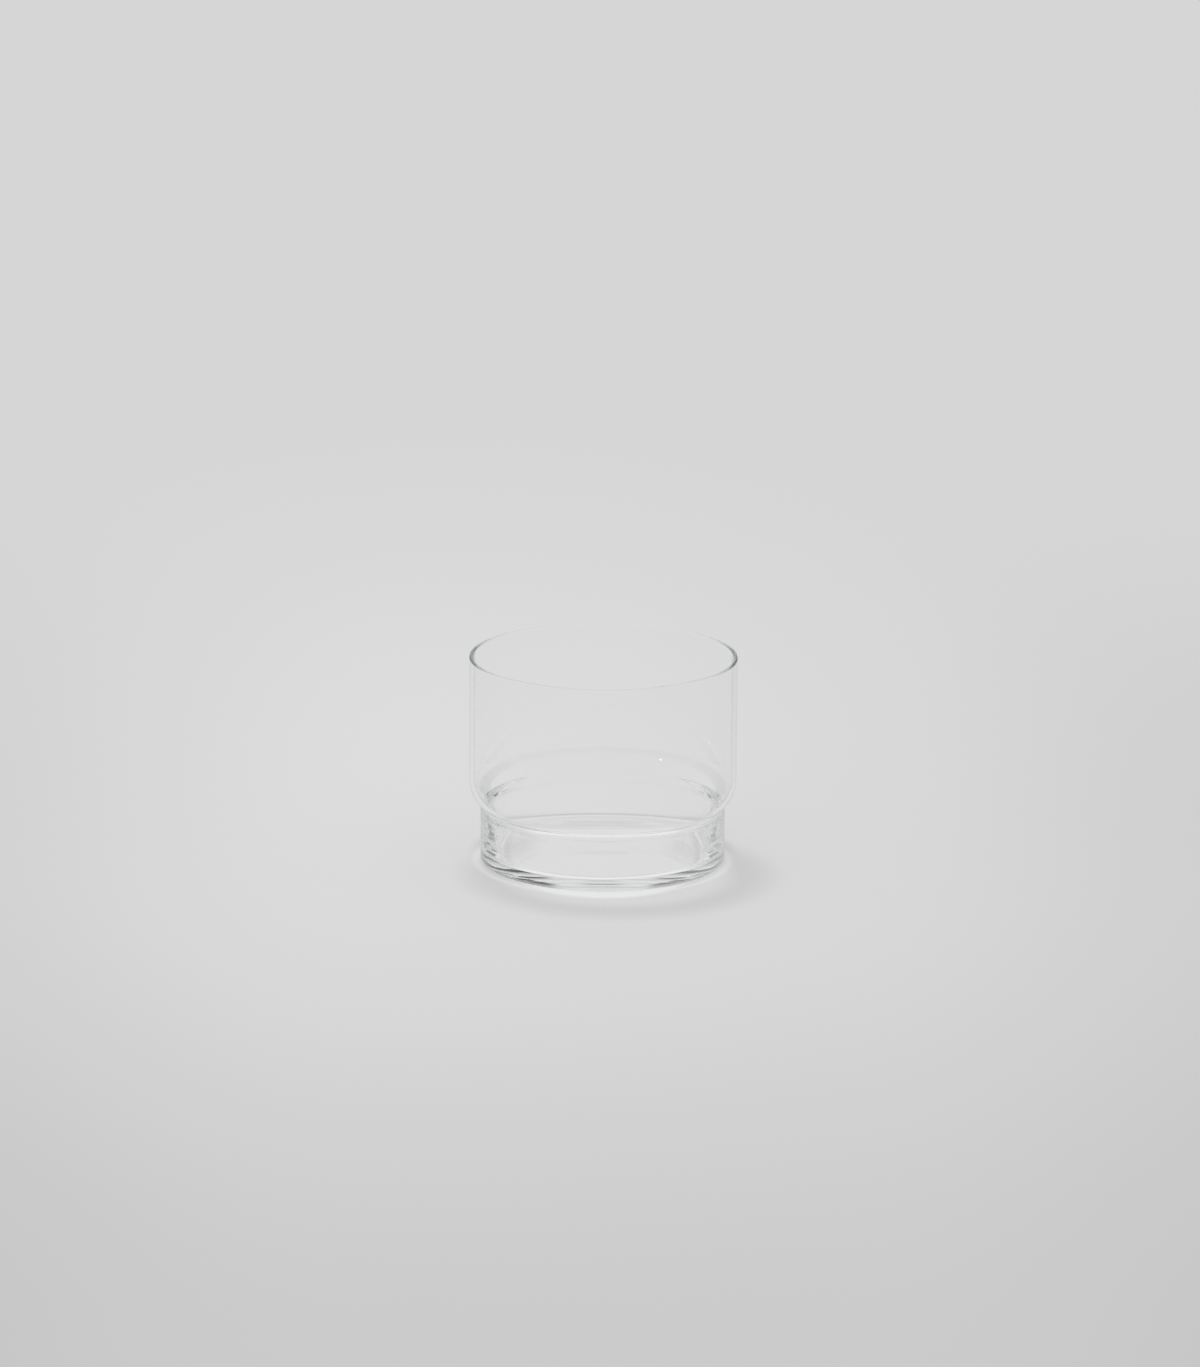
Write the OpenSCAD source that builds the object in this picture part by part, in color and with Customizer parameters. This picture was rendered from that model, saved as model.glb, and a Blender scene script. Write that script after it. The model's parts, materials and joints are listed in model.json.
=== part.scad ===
// Stacking cortado glass: one piece of clear glass, a straight thin-walled bowl on a
// narrower, thick-walled foot. Millimetres, +Z up, origin at the middle of the base.

/* [Bowl] */
// Outside diameter of the bowl
bowl_d = 72; // [64:0.5:84]
// Height from the table to the top of the lip
height = 56.6; // [40:0.2:100]
// Thickness of the bowl wall and of its round lip
wall_t = 1.1; // [0.8:0.05:1.8]

/* [Shoulder] */
// Outside radius of the round shoulder under the bowl
shoulder_r = 9.6; // [7:0.1:12]
// Fillet in the crease between the shoulder and the foot
crease_r = 0.8; // [0.4:0.1:2]
// Radius of the inside bend from the shoulder into the foot
throat_r = 5; // [3:0.1:12]

/* [Foot] */
// Gap all round the foot when it stands in the mouth of a like glass
stack_gap = 1.95; // [1:0.05:3]
// Height of the straight foot wall, from the table to the crease
foot_h = 15.4; // [14:0.1:22]
// Thickness of the foot wall at the throat, where it is thinnest
foot_wall_t = 3; // [2.4:0.05:5]
// Angle at which the bore narrows towards the floor
bore_draft = 6.5; // [0:0.5:8]
// Radius of the rounded edge under the foot wall
heel_r = 1; // [0.3:0.1:2]

/* [Floor] */
// Height of the inside floor above the table
floor_h = 2.5; // [2:0.1:4]
// Radius of the inside corner between the floor and the foot wall
floor_corner_r = 1.5; // [1:0.1:4]
// Width of the flat ring that the glass rests on
rest_ring_w = 7; // [1:0.1:10]
// Depth of the shallow hollow inside the rest ring
hollow_depth = 1; // [0.2:0.1:1.4]

/* [Hidden] */
$fn = 128;
// Straight pieces in each round stretch of the outline
arc_steps = 24;

// Bowl and lip
bowl_r = bowl_d / 2;
mouth_r = bowl_r - wall_t;
lip_r = wall_t / 2;
lip_z = height - lip_r;

// Foot, heel and the ring that touches the table
foot_r = mouth_r - stack_gap;
foot_bore_r = foot_r - foot_wall_t;
heel_x = foot_r - heel_r;
hollow_r = heel_x - rest_ring_w;
dome_r = (hollow_r * hollow_r + hollow_depth * hollow_depth) / (2 * hollow_depth);
dome_z = hollow_depth - dome_r;

// The shoulder rounds in from the bowl and meets the crease fillet on one tangent
shoulder_x = bowl_r - shoulder_r;
crease_x = foot_r + crease_r;
crease_turn = acos((crease_x - shoulder_x) / (shoulder_r + crease_r));
shoulder_z = foot_h + (shoulder_r + crease_r) * sin(crease_turn);

// The inside follows the shoulder at the wall's thickness, then bends down into the foot
bowl_bend_r = shoulder_r - wall_t;
throat_x = foot_bore_r + throat_r;
throat_turn = acos((throat_x - shoulder_x) / (bowl_bend_r + throat_r));
throat_z = shoulder_z - (bowl_bend_r + throat_r) * sin(throat_turn);

// The bore narrows from the throat down to the corner of the floor
bore_top_x = throat_x - throat_r * cos(bore_draft);
bore_top_z = throat_z + throat_r * sin(bore_draft);
corner_z = floor_h + floor_corner_r;
bore_low_z = corner_z - floor_corner_r * sin(bore_draft);
bore_low_x = bore_top_x - (bore_top_z - bore_low_z) * tan(bore_draft);
corner_x = bore_low_x - floor_corner_r * cos(bore_draft);

// Points of a round stretch from angle a to angle b, without the first one if skip is 1
function arc(x, z, r, a, b, skip = 0) = [
    for (i = [skip:arc_steps])
        let (t = a + (b - a) * i / arc_steps)
            [x + r * cos(t), z + r * sin(t)]
];

// Half of the upright section, from the middle of the underside round to the middle of the floor
function glass_outline() = concat(
    arc(0, dome_z, dome_r, 90, acos(hollow_r / dome_r)),
    arc(heel_x, heel_r, heel_r, -90, 0),
    arc(crease_x, foot_h, crease_r, 180, 180 - crease_turn),
    arc(shoulder_x, shoulder_z, shoulder_r, -crease_turn, 0, 1),
    arc(bowl_r - lip_r, lip_z, lip_r, 0, 180),
    arc(shoulder_x, shoulder_z, bowl_bend_r, 0, -throat_turn),
    arc(throat_x, throat_z, throat_r, 180 - throat_turn, 180 - bore_draft, 1),
    arc(corner_x, corner_z, floor_corner_r, -bore_draft, -90),
    [[0, floor_h]]
);

module tumbler() {
    color("azure", 0.35)
        rotate_extrude()
            polygon(glass_outline());
}

tumbler();
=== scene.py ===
"""Clear stacking cortado glass, turned in one piece, on a pale table under soft studio light.

Metres, +Z up, origin at the middle of the base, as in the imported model. A pair of values that ends
in R, X, Y, Z, UP, ALONG, ACROSS or the like is where a soft edge starts and where it ends.
"""
import json
import math

import bmesh
import bpy
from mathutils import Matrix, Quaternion, Vector


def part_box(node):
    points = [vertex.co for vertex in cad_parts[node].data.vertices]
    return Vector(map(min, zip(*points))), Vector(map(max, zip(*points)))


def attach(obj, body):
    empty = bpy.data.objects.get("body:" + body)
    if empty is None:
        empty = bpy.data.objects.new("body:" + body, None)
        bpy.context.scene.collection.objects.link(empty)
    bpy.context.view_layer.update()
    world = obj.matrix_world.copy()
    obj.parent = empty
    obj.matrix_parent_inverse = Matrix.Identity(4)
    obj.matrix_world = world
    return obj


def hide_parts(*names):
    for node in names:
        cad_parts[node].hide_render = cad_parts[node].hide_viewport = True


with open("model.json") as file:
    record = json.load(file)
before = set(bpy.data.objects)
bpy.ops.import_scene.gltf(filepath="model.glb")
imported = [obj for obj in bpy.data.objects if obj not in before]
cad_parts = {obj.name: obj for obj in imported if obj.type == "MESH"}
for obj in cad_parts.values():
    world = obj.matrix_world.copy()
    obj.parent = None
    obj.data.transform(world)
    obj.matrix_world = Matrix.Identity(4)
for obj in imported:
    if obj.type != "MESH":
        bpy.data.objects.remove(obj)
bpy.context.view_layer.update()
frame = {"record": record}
scene = bpy.context.scene

MM = 0.001
FULL_TURN = 2 * math.pi
MIDDLE = (0, 0, 0)
UPWARD = (0, 0, 1)

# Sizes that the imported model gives
mounts = {mount["name"]: mount for mount in frame["record"]["mounts"]}
glass_low, glass_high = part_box("tumbler")
HEIGHT = glass_high.z - glass_low.z
BOWL_R = (glass_high.x - glass_low.x) / 2
MOUTH_R = mounts["mouth"]["dims"]["r_mm"] * MM
FOOT_R = mounts["foot"]["dims"]["r_mm"] * MM
WALL_T = BOWL_R - MOUTH_R
LIP_R = WALL_T / 2

# Sizes of the shoulder, the foot and the floor, the same as the solid's. The draft is in degrees
SHOULDER_R = 9.6 * MM
CREASE_R = 0.8 * MM
THROAT_R = 5.0 * MM
FOOT_H = 15.4 * MM
FOOT_WALL_T = 3.0 * MM
BORE_DRAFT = 6.5
HEEL_R = 1.0 * MM
FLOOR_H = 2.5 * MM
FLOOR_CORNER_R = 1.5 * MM
REST_RING_W = 7.0 * MM
HOLLOW_DEPTH = 1.0 * MM

# Slices round the glass, steps in each slice, and steps in each round stretch of its outline
SLICES = 16
SLICE_STEPS = 24
ARC_STEPS = 24
FLAT_ARC_STEPS = 6

# Points closer than the weld become one, and a straight run is flat from the hold onwards
WELD = 0.0001 * MM
HOLD = 0.02 * MM

# Optical values of clear soda-lime glass, and how dark it gets where it is seen edge-on
GLASS_IOR = 1.52
GLASS_TINT = (0.67, 0.78, 0.785, 1.0)
GLASS_ABSORPTION = 1.5
GLASS_EDGE = 0.6
GLASS_EDGE_FACING = (0.78, 0.94)
LIGHT_BOUNCES = 512

# Fine level rings that the mould leaves on the foot wall
RINGS_PER_M = 1000.0
RING_DEPTH = 0.02 * MM
RING_FOOT_Z = (2 * MM, 4.5 * MM)
RING_TOP_Z = (12 * MM, 15 * MM)
RING_IN_R = (31.5 * MM, 32.5 * MM)

# The photo's frame in pixels, the glass in it, and the camera that sees it so
PHOTO_W = 1200
PHOTO_H = 1367
GLASS_W_PX = 268.35
BASE_PX = (603.4, 859.3)
CAMERA_ELEVATION = math.radians(14.7)
CAMERA_ROLL = math.radians(0.35)
CAMERA_DISTANCE = 2.0
SENSOR_W = 36.0

# The table under the glass
TABLE_R = 4.0
TABLE_SIDES = 64
TABLE_DROP = 0.02 * MM

# Its tone as linear brightness, with a painted pool of light near the glass, and painted shade that dims
# the front and the sides
TABLE_PALE = 0.672
TABLE_PAINTED_POOL = 0.052
TABLE_PAINTED_POOL_AT = (-0.045, 0.08, 0.0)
TABLE_PAINTED_POOL_R = (0.22, 0.48, 1.0)
TABLE_FRONT_PAINTED_SHADE = 0.075
TABLE_FRONT_Y = (-0.42, 0)
TABLE_SIDE_PAINTED_SHADE = 0.05
TABLE_SIDE_X = (0.06, 0.2)
TABLE_SIDE_Y = (0, 0.45)

# The grey of its matt part, and how much more light falls on that than shows in the glass
TABLE_GREY = 0.85
TABLE_LIGHT = 1.22

# How much of the table is a glow that takes no shadow, for the camera and through the glass
CAMERA_SHINE_SHARE = 0.8
GLASS_SHINE_SHARE = 1.0

# Light painted on the table where the glass would gather it: a crescent in front of its foot, and a thin
# ring all round
CAST_BRIGHT = 0.14
CAST_BRIGHT_AT = (0.5 * MM, -15 * MM, 0)
CAST_BRIGHT_R = (21.5 * MM, 25 * MM)
CAST_BRIGHT_FROM_R = (26 * MM, 28 * MM)
CAST_HALO = 0.07
CAST_HALO_AT = (0, -1 * MM, 0)
CAST_HALO_R = (32.5 * MM, 34 * MM, 36 * MM)

# Painted soft shadows past that light: one in front, and one behind the foot
CAST_DARK = 0.08
CAST_DARK_AT = (4 * MM, -15.5 * MM, 0)
CAST_DARK_R = (26 * MM, 34.5 * MM, 47 * MM)
CAST_BACK = 0.17
CAST_BACK_AT = (0, 4 * MM, 0)
CAST_BACK_R = (29 * MM, 33.5 * MM, 38 * MM)
CAST_BACK_Y = (0, 25 * MM)

# The studio light as linear brightness, by direction: across to the right, along to the back, and up
LIGHT_FRONT = 0.62
LIGHT_BACK = 0.75
LIGHT_ALONG = (-0.5, 0.5)
LIGHT_LEFT = 0.05
LIGHT_LEFT_ACROSS = (-1, 0)
LIGHT_LOW = 0.4
LIGHT_LOW_UP = (0.05, 0.5)
LIGHT_LOW_ALONG = (-0.2, 0.1)
LIGHT_TOP = 0.62
LIGHT_TOP_UP = (0.75, 0.95)

# A narrow upright lamp, in front on the left, which leaves one bright spot in the glass
LAMP_LEVEL = 7.0
LAMP_BEARING = (-0.835, -0.55, 0)
LAMP_WIDE = (0.006, 0.013)
LAMP_LOW_UP = (0.34, 0.4)
LAMP_HIGH_UP = (0.43, 0.5)

# Dark flags low behind the glass at both sides, on the left and on the right, which draw its base
FLAG_LEVEL = (0.26, 0.09)
FLAG_ACROSS = (-0.3, 0.3)
FLAG_ALONG = (-0.1, 0.1)
FLAG_UP = (0.28, 0.42)
FLAG_IN = (0.16, 0.36)
FLAG_OUT = (0.6, 0.9)
FLAG_OUT_SHARE = 0.7

# A small dark strip between the flags, which draws the line in the middle of the base
STRIP_WIDE = (0.02, 0.13)
STRIP_LOW_UP = (0.37, 0.43)
STRIP_HIGH_UP = (0.43, 0.5)


class Pen:
    """Draws an outline in the XZ plane, with the glass on its left, by straight runs and by arcs.

    Each point keeps its lean, the true angle at which the surface there faces, above the horizon.
    """

    def __init__(self, bm, x, z, lean):
        self.bm = bm
        self.leans = bm.verts.layers.float.new("lean")
        self.tip = bm.verts.new((x, 0, z))
        self.tip[self.leans] = lean

    def hop_to(self, place, lean):
        made = bmesh.ops.extrude_vert_indiv(self.bm, verts=[self.tip])
        self.tip = made["verts"][0]
        self.tip.co = place
        self.tip[self.leans] = lean

    def line_to(self, x, z):
        """A straight run, with a point just after its start, so that it is flat from there on."""
        end = Vector((x, 0, z))
        way = (end - self.tip.co).normalized()
        lean = math.atan2(-way.x, way.z)
        self.hop_to(self.tip.co + way * HOLD, lean)
        self.hop_to(end, lean)

    def arc(self, x, z, degrees, steps=ARC_STEPS):
        """Turns about the point x, z. A turn to the left has a positive angle."""
        drawn = len(self.bm.verts)
        bmesh.ops.spin(
            self.bm, geom=[self.tip], cent=(x, 0, z), axis=(0, -1, 0),
            angle=math.radians(degrees), steps=steps,
        )
        self.bm.verts.ensure_lookup_table()
        facing = math.copysign(1, degrees)
        for point in self.bm.verts[drawn:]:
            point[self.leans] = math.atan2((point.co.z - z) * facing, (point.co.x - x) * facing)
        self.tip = self.bm.verts[-1]


def draw_outline(bm):
    """Half of the upright section, from the middle of the underside round to the middle of the floor."""
    heel_x = FOOT_R - HEEL_R
    hollow_r = heel_x - REST_RING_W
    dome_r = (hollow_r ** 2 + HOLLOW_DEPTH ** 2) / (2 * HOLLOW_DEPTH)
    dome_turn = math.degrees(math.asin(hollow_r / dome_r))
    shoulder_x = BOWL_R - SHOULDER_R
    crease_x = FOOT_R + CREASE_R
    crease_turn = math.degrees(math.acos((crease_x - shoulder_x) / (SHOULDER_R + CREASE_R)))
    shoulder_z = FOOT_H + (SHOULDER_R + CREASE_R) * math.sin(math.radians(crease_turn))
    lip_z = HEIGHT - LIP_R
    bore_r = FOOT_R - FOOT_WALL_T
    bend_r = SHOULDER_R - WALL_T
    throat_x = bore_r + THROAT_R
    throat_turn = math.degrees(math.acos((throat_x - shoulder_x) / (bend_r + THROAT_R)))
    throat_z = shoulder_z - (bend_r + THROAT_R) * math.sin(math.radians(throat_turn))
    draft = math.radians(BORE_DRAFT)
    bore_top_x = throat_x - THROAT_R * math.cos(draft)
    bore_top_z = throat_z + THROAT_R * math.sin(draft)
    corner_z = FLOOR_H + FLOOR_CORNER_R
    bore_low_z = corner_z - FLOOR_CORNER_R * math.sin(draft)
    bore_low_x = bore_top_x - (bore_top_z - bore_low_z) * math.tan(draft)
    corner_x = bore_low_x - FLOOR_CORNER_R * math.cos(draft)

    pen = Pen(bm, 0, HOLLOW_DEPTH, -math.pi / 2)
    pen.arc(0, HOLLOW_DEPTH - dome_r, -dome_turn, FLAT_ARC_STEPS)
    pen.line_to(heel_x, 0)
    pen.arc(heel_x, HEEL_R, 90)
    pen.line_to(FOOT_R, FOOT_H)
    pen.arc(crease_x, FOOT_H, -crease_turn)
    pen.arc(shoulder_x, shoulder_z, crease_turn)
    pen.line_to(BOWL_R, lip_z)
    pen.arc(BOWL_R - LIP_R, lip_z, 180)
    pen.line_to(MOUTH_R, shoulder_z)
    pen.arc(shoulder_x, shoulder_z, -throat_turn)
    pen.arc(throat_x, throat_z, throat_turn - BORE_DRAFT)
    pen.line_to(bore_low_x, bore_low_z)
    pen.arc(corner_x, corner_z, BORE_DRAFT - 90)
    pen.line_to(0, FLOOR_H)


def face_true(mesh):
    """Gives each point the true normal of the turned surface, so that light bends as in a real one."""
    normals = []
    for point, lean in zip(mesh.vertices, mesh.attributes["lean"].data):
        bearing = math.atan2(point.co.y, point.co.x)
        flat = math.cos(lean.value)
        normals.append((flat * math.cos(bearing), flat * math.sin(bearing), math.sin(lean.value)))
    mesh.normals_split_custom_set_from_vertices(normals)
    mesh.attributes.remove(mesh.attributes["lean"])


def turn_tumbler():
    """The whole glass as one closed skin: one slice turned from the outline, then repeated all round."""
    bm = bmesh.new()
    draw_outline(bm)
    slice_angle = FULL_TURN / SLICES
    bmesh.ops.spin(
        bm, geom=bm.verts[:] + bm.edges[:], cent=MIDDLE, axis=UPWARD,
        angle=slice_angle, steps=SLICE_STEPS,
    )
    bmesh.ops.spin(
        bm, geom=bm.verts[:] + bm.edges[:] + bm.faces[:], cent=MIDDLE, axis=UPWARD,
        angle=FULL_TURN - slice_angle, steps=SLICES - 1, use_duplicate=True,
    )
    bmesh.ops.remove_doubles(bm, verts=bm.verts, dist=WELD)
    bmesh.ops.recalc_face_normals(bm, faces=bm.faces)
    mesh = bpy.data.meshes.new("tumbler_glass")
    bm.to_mesh(mesh)
    bm.free()
    mesh.shade_smooth()
    face_true(mesh)
    piece = bpy.data.objects.new("tumbler_glass", mesh)
    scene.collection.objects.link(piece)
    return piece


def feed(tree, value, socket):
    """Sets a socket to a plain number, or links it to another socket."""
    if isinstance(value, bpy.types.NodeSocket):
        tree.links.new(value, socket)
    else:
        socket.default_value = value


def math_node(tree, operation, first, second=0):
    """One Math node, whose inputs are sockets or plain numbers."""
    node = tree.nodes.new("ShaderNodeMath")
    node.operation = operation
    feed(tree, first, node.inputs[0])
    feed(tree, second, node.inputs[1])
    return node.outputs["Value"]


def product(tree, first, *others):
    """All the values multiplied together."""
    for other in others:
        first = math_node(tree, "MULTIPLY", first, other)
    return first


def ramp(tree, value, start, end, low, high):
    """A smooth step from low to high while value goes from start to end."""
    node = tree.nodes.new("ShaderNodeMapRange")
    node.interpolation_type = "SMOOTHSTEP"
    feed(tree, value, node.inputs["Value"])
    feed(tree, start, node.inputs["From Min"])
    feed(tree, end, node.inputs["From Max"])
    feed(tree, low, node.inputs["To Min"])
    feed(tree, high, node.inputs["To Max"])
    return node.outputs["Result"]


def measure(tree, operation, vector, fixed):
    """A number that a vector gives with a fixed one: their DISTANCE or their DOT_PRODUCT."""
    node = tree.nodes.new("ShaderNodeVectorMath")
    node.operation = operation
    tree.links.new(vector, node.inputs[0])
    node.inputs[1].default_value = fixed
    return node.outputs["Value"]


def parts_of(tree, vector):
    """The three numbers of a vector."""
    node = tree.nodes.new("ShaderNodeSeparateXYZ")
    tree.links.new(vector, node.inputs["Vector"])
    return node.outputs


def soft_ring(tree, place, middle, radii, level):
    """A ring that rises from its inner radius to level, and fades out again to its outer radius."""
    inner, crest, outer = radii
    out = measure(tree, "DISTANCE", place, middle)
    return product(tree, ramp(tree, out, inner, crest, 0, 1), ramp(tree, out, crest, outer, level, 0))


def mould_rings(tree):
    """Heights of the fine level rings on the outside of the foot, fading towards its heel and crease."""
    place = tree.nodes.new("ShaderNodeTexCoord").outputs["Object"]
    flat = tree.nodes.new("ShaderNodeMapping")
    flat.inputs["Scale"].default_value = (1, 1, 0)
    tree.links.new(place, flat.inputs["Vector"])
    out = measure(tree, "DISTANCE", flat.outputs["Vector"], MIDDLE)
    _, _, up = parts_of(tree, place)
    rings = tree.nodes.new("ShaderNodeTexNoise")
    rings.noise_dimensions = "1D"
    rings.inputs["Scale"].default_value = RINGS_PER_M
    rings.inputs["Detail"].default_value = 0
    tree.links.new(up, rings.inputs["W"])
    outside = ramp(tree, out, *RING_IN_R, 0, 1)
    above_heel = ramp(tree, up, *RING_FOOT_Z, 0, 1)
    below_crease = ramp(tree, up, *RING_TOP_Z, 1, 0)
    return product(tree, rings.outputs["Fac"], outside, above_heel, below_crease)


def clear_glass():
    """Polished clear glass, faintly tinted in its depth and darker where it is seen edge-on."""
    material = bpy.data.materials.new("polished_clear_glass")
    material.use_nodes = True
    tree = material.node_tree
    surface = tree.nodes["Principled BSDF"]
    surface.inputs["Roughness"].default_value = 0.0
    surface.inputs["IOR"].default_value = GLASS_IOR
    surface.inputs["Transmission Weight"].default_value = 1.0
    edge = tree.nodes.new("ShaderNodeLayerWeight")
    clear = ramp(tree, edge.outputs["Facing"], *GLASS_EDGE_FACING, 1, GLASS_EDGE)
    tree.links.new(clear, surface.inputs["Base Color"])
    bump = tree.nodes.new("ShaderNodeBump")
    bump.inputs["Distance"].default_value = RING_DEPTH
    tree.links.new(mould_rings(tree), bump.inputs["Height"])
    tree.links.new(bump.outputs["Normal"], surface.inputs["Normal"])
    tint = tree.nodes.new("ShaderNodeVolumeAbsorption")
    tint.inputs["Color"].default_value = GLASS_TINT
    tint.inputs["Density"].default_value = GLASS_ABSORPTION
    tree.links.new(tint.outputs["Volume"], tree.nodes["Material Output"].inputs["Volume"])
    return material


def painted_pool_tone(tree, place):
    """The empty table's brightness: a painted pool of light by the glass, and painted shade towards the
    front and the sides.
    """
    across, along, _ = parts_of(tree, place)
    light_pool_map = tree.nodes.new("ShaderNodeMapping")
    light_pool_map.vector_type = "TEXTURE"
    light_pool_map.inputs["Location"].default_value = TABLE_PAINTED_POOL_AT
    light_pool_map.inputs["Scale"].default_value = TABLE_PAINTED_POOL_R
    tree.links.new(place, light_pool_map.inputs["Vector"])
    reach = measure(tree, "DISTANCE", light_pool_map.outputs["Vector"], MIDDLE)
    # Painted pool of light, paler towards its middle by the glass
    tone = ramp(tree, reach, 0, 1, TABLE_PALE + TABLE_PAINTED_POOL, TABLE_PALE)
    # Painted shade, dimmer towards the front and the sides
    front_shade = ramp(tree, along, *TABLE_FRONT_Y, TABLE_FRONT_PAINTED_SHADE, 0)
    sideways = math_node(tree, "ABSOLUTE", across)
    side_shade = ramp(tree, sideways, *TABLE_SIDE_X, 0, TABLE_SIDE_PAINTED_SHADE)
    side_shade = product(tree, side_shade, ramp(tree, along, *TABLE_SIDE_Y, 1, 0))
    tone = math_node(tree, "SUBTRACT", tone, front_shade)
    return math_node(tree, "SUBTRACT", tone, side_shade)


def cast_tone(tree, place, tone):
    """A tone with painted light where the glass would gather it round its foot, and with painted soft
    shadows.
    """
    _, along, _ = parts_of(tree, place)
    bright = ramp(tree, measure(tree, "DISTANCE", place, CAST_BRIGHT_AT), *CAST_BRIGHT_R, CAST_BRIGHT, 0)
    out = measure(tree, "DISTANCE", place, MIDDLE)
    bright = product(tree, bright, ramp(tree, out, *CAST_BRIGHT_FROM_R, 0, 1))
    halo = soft_ring(tree, place, CAST_HALO_AT, CAST_HALO_R, CAST_HALO)
    dark = soft_ring(tree, place, CAST_DARK_AT, CAST_DARK_R, CAST_DARK)
    back = soft_ring(tree, place, CAST_BACK_AT, CAST_BACK_R, CAST_BACK)
    back = product(tree, back, ramp(tree, along, *CAST_BACK_Y, 0, 1))
    tone = math_node(tree, "ADD", tone, math_node(tree, "MAXIMUM", bright, halo))
    tone = math_node(tree, "SUBTRACT", tone, dark)
    return math_node(tree, "SUBTRACT", tone, back)


def pale_table():
    """A matt table. Part of its tone is a glow, for the camera and the glass. The rest takes the shadow."""
    material = bpy.data.materials.new("pale_table")
    material.use_nodes = True
    tree = material.node_tree
    place = tree.nodes.new("ShaderNodeTexCoord").outputs["Object"]
    # The tone holds the painted pool of light and shade, and the painted light and shadows round the foot
    tone = cast_tone(tree, place, painted_pool_tone(tree, place))
    lit = tree.nodes.new("ShaderNodeBsdfDiffuse")
    tree.links.new(product(tree, tone, TABLE_GREY / TABLE_PALE), lit.inputs["Color"])
    glow = tree.nodes.new("ShaderNodeEmission")
    tree.links.new(tone, glow.inputs["Strength"])
    path = tree.nodes.new("ShaderNodeLightPath")
    share = product(tree, path.outputs["Is Camera Ray"], CAMERA_SHINE_SHARE)
    for ray in ("Is Glossy Ray", "Is Transmission Ray"):
        share = math_node(tree, "MAXIMUM", share, product(tree, path.outputs[ray], GLASS_SHINE_SHARE))
    mix = tree.nodes.new("ShaderNodeMixShader")
    tree.links.new(share, mix.inputs["Fac"])
    tree.links.new(lit.outputs["BSDF"], mix.inputs[1])
    tree.links.new(glow.outputs["Emission"], mix.inputs[2])
    tree.links.new(mix.outputs["Shader"], tree.nodes["Material Output"].inputs["Surface"])
    return material


def lay_table():
    """A wide round table top, a hair under the glass."""
    bm = bmesh.new()
    bmesh.ops.create_circle(bm, cap_ends=True, segments=TABLE_SIDES, radius=TABLE_R)
    bmesh.ops.translate(bm, verts=bm.verts, vec=(0, 0, -TABLE_DROP))
    mesh = bpy.data.meshes.new("table")
    bm.to_mesh(mesh)
    bm.free()
    mesh.materials.append(pale_table())
    table = bpy.data.objects.new("table", mesh)
    scene.collection.objects.link(table)


def room_light(tree, across, along, up):
    """The plain studio: brightest behind, a little brighter on the left, and dim low in front."""
    room = ramp(tree, along, *LIGHT_ALONG, LIGHT_FRONT, LIGHT_BACK)
    left = ramp(tree, across, *LIGHT_LEFT_ACROSS, LIGHT_LEFT, 0)
    room = math_node(tree, "ADD", room, left)
    low = product(tree, ramp(tree, up, *LIGHT_LOW_UP, 1, 0), ramp(tree, along, *LIGHT_LOW_ALONG, 1, 0))
    room = ramp(tree, low, 0, 1, room, LIGHT_LOW)
    return ramp(tree, up, *LIGHT_TOP_UP, room, LIGHT_TOP)


def strip_lamp(tree, direction, up):
    """The light of the narrow upright lamp."""
    bearing = Vector(LAMP_BEARING).normalized()
    ahead = measure(tree, "DOT_PRODUCT", direction, bearing)
    aside = measure(tree, "DOT_PRODUCT", direction, bearing.cross(UPWARD))
    wide = ramp(tree, math_node(tree, "ABSOLUTE", aside), *LAMP_WIDE, LAMP_LEVEL, 0)
    in_front = math_node(tree, "GREATER_THAN", ahead, 0)
    above = ramp(tree, up, *LAMP_LOW_UP, 0, 1)
    below = ramp(tree, up, *LAMP_HIGH_UP, 1, 0)
    return product(tree, wide, in_front, above, below)


def dark_flags(tree, across, along, up):
    """Where the dark flags and the strip between them stand, from 0 to 1."""
    sideways = math_node(tree, "ABSOLUTE", across)
    behind = ramp(tree, along, *FLAG_ALONG, 0, 1)
    sides = ramp(tree, sideways, *FLAG_IN, 0, 1)
    far_sides = ramp(tree, sideways, *FLAG_OUT, 1, FLAG_OUT_SHARE)
    flags = product(tree, sides, far_sides, behind, ramp(tree, up, *FLAG_UP, 1, 0))
    above = ramp(tree, up, *STRIP_LOW_UP, 0, 1)
    below = ramp(tree, up, *STRIP_HIGH_UP, 1, 0)
    strip = product(tree, ramp(tree, sideways, *STRIP_WIDE, 1, 0), behind, above, below)
    return math_node(tree, "MAXIMUM", flags, strip)


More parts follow.
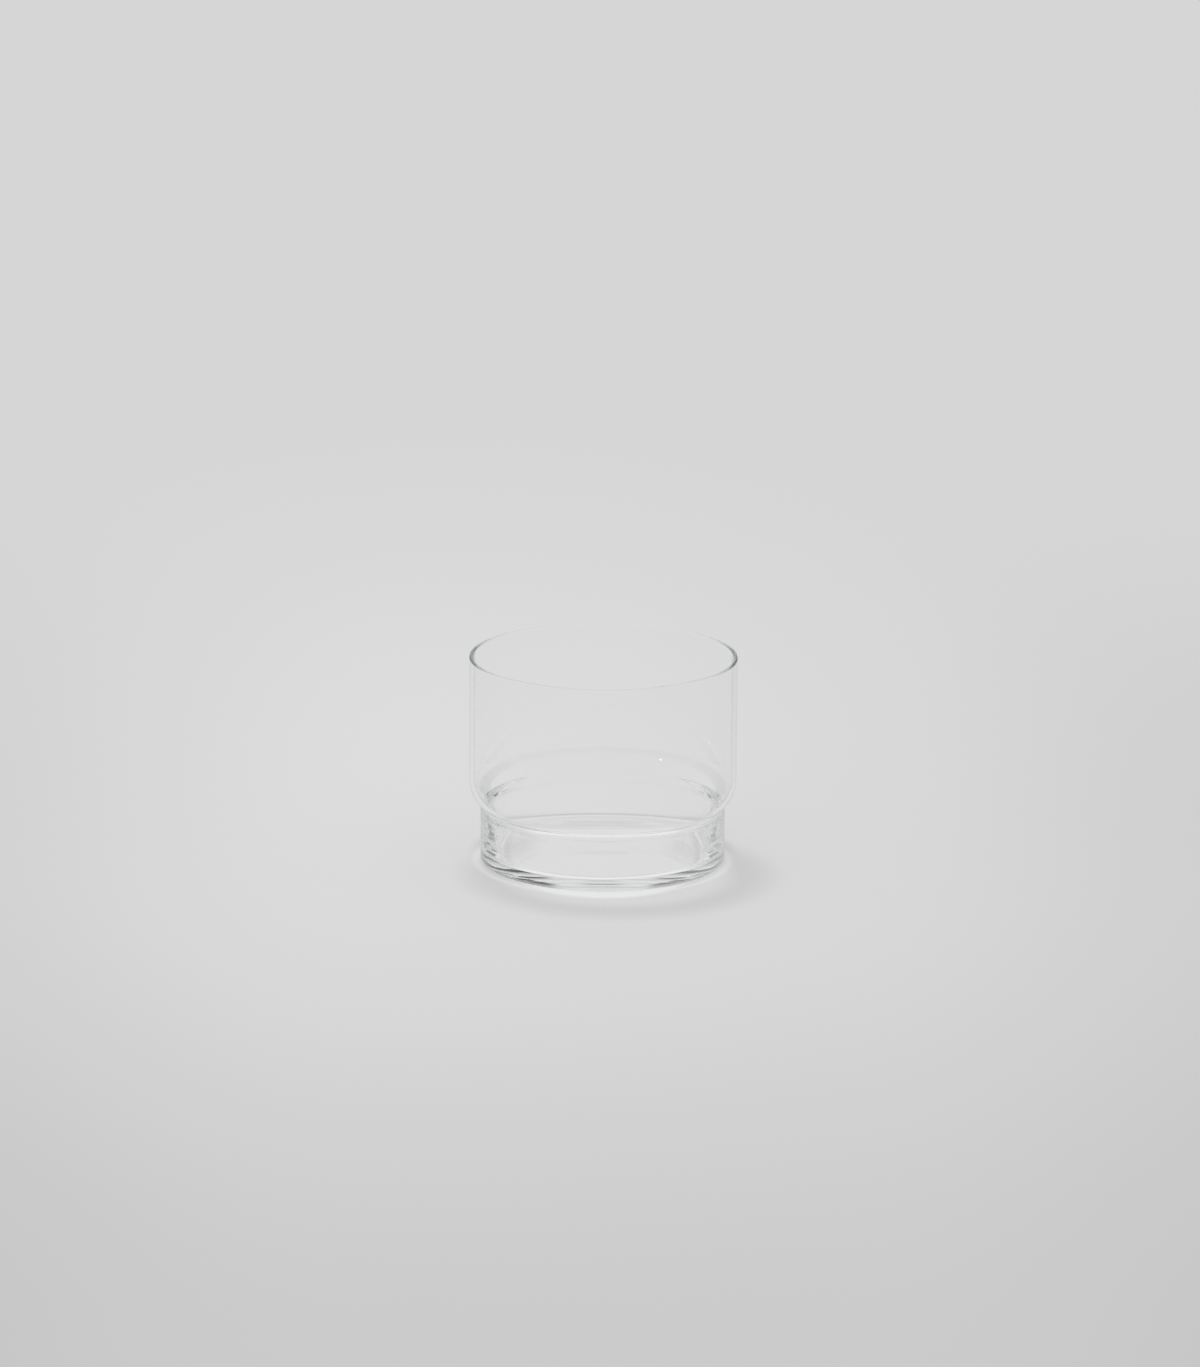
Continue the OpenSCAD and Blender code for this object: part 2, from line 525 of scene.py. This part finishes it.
def light_surround():
    """Soft studio light with one small lamp and dark flags. The camera sees the table's tone instead."""
    world = bpy.data.worlds.new("studio")
    scene.world = world
    world.use_nodes = True
    tree = world.node_tree
    direction = tree.nodes.new("ShaderNodeTexCoord").outputs["Generated"]
    across, along, up = parts_of(tree, direction)
    room = math_node(tree, "ADD", room_light(tree, across, along, up), strip_lamp(tree, direction, up))
    shade = ramp(tree, across, *FLAG_ACROSS, *FLAG_LEVEL)
    level = ramp(tree, dark_flags(tree, across, along, up), 0, 1, room, shade)
    path = tree.nodes.new("ShaderNodeLightPath")
    glassy = math_node(tree, "MAXIMUM", path.outputs["Is Glossy Ray"], path.outputs["Is Transmission Ray"])
    level = product(tree, level, ramp(tree, glassy, 0, 1, TABLE_LIGHT, 1))
    level = ramp(tree, path.outputs["Is Camera Ray"], 0, 1, level, TABLE_PALE)
    background = tree.nodes["Background"]
    background.inputs["Color"].default_value = (1, 1, 1, 1)
    tree.links.new(level, background.inputs["Strength"])


def place_camera():
    """The photo's view, from the size and the place that the glass has in the photo's frame."""
    pixel = 2 * BOWL_R / GLASS_W_PX
    rise = math.cos(CAMERA_ELEVATION)
    target = Vector((
        (PHOTO_W / 2 - BASE_PX[0]) * pixel,
        0,
        (BASE_PX[1] - PHOTO_H / 2) * pixel / rise,
    ))
    back = Vector((0, -rise, math.sin(CAMERA_ELEVATION)))
    data = bpy.data.cameras.new("camera")
    data.sensor_width = SENSOR_W
    data.lens = SENSOR_W * CAMERA_DISTANCE / (PHOTO_H * pixel)
    camera = bpy.data.objects.new("camera", data)
    camera.location = target + back * CAMERA_DISTANCE
    camera.rotation_mode = "QUATERNION"
    camera.rotation_quaternion = (-back).to_track_quat("-Z", "Y") @ Quaternion(UPWARD, CAMERA_ROLL)
    scene.collection.objects.link(camera)
    scene.camera = camera


place_camera()
light_surround()
lay_table()

tumbler = turn_tumbler()
tumbler.data.materials.append(clear_glass())
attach(tumbler, "root")
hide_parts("tumbler")

scene.view_settings.view_transform = "Standard"
scene.cycles.max_bounces = LIGHT_BOUNCES
scene.cycles.glossy_bounces = LIGHT_BOUNCES
scene.cycles.transmission_bounces = LIGHT_BOUNCES
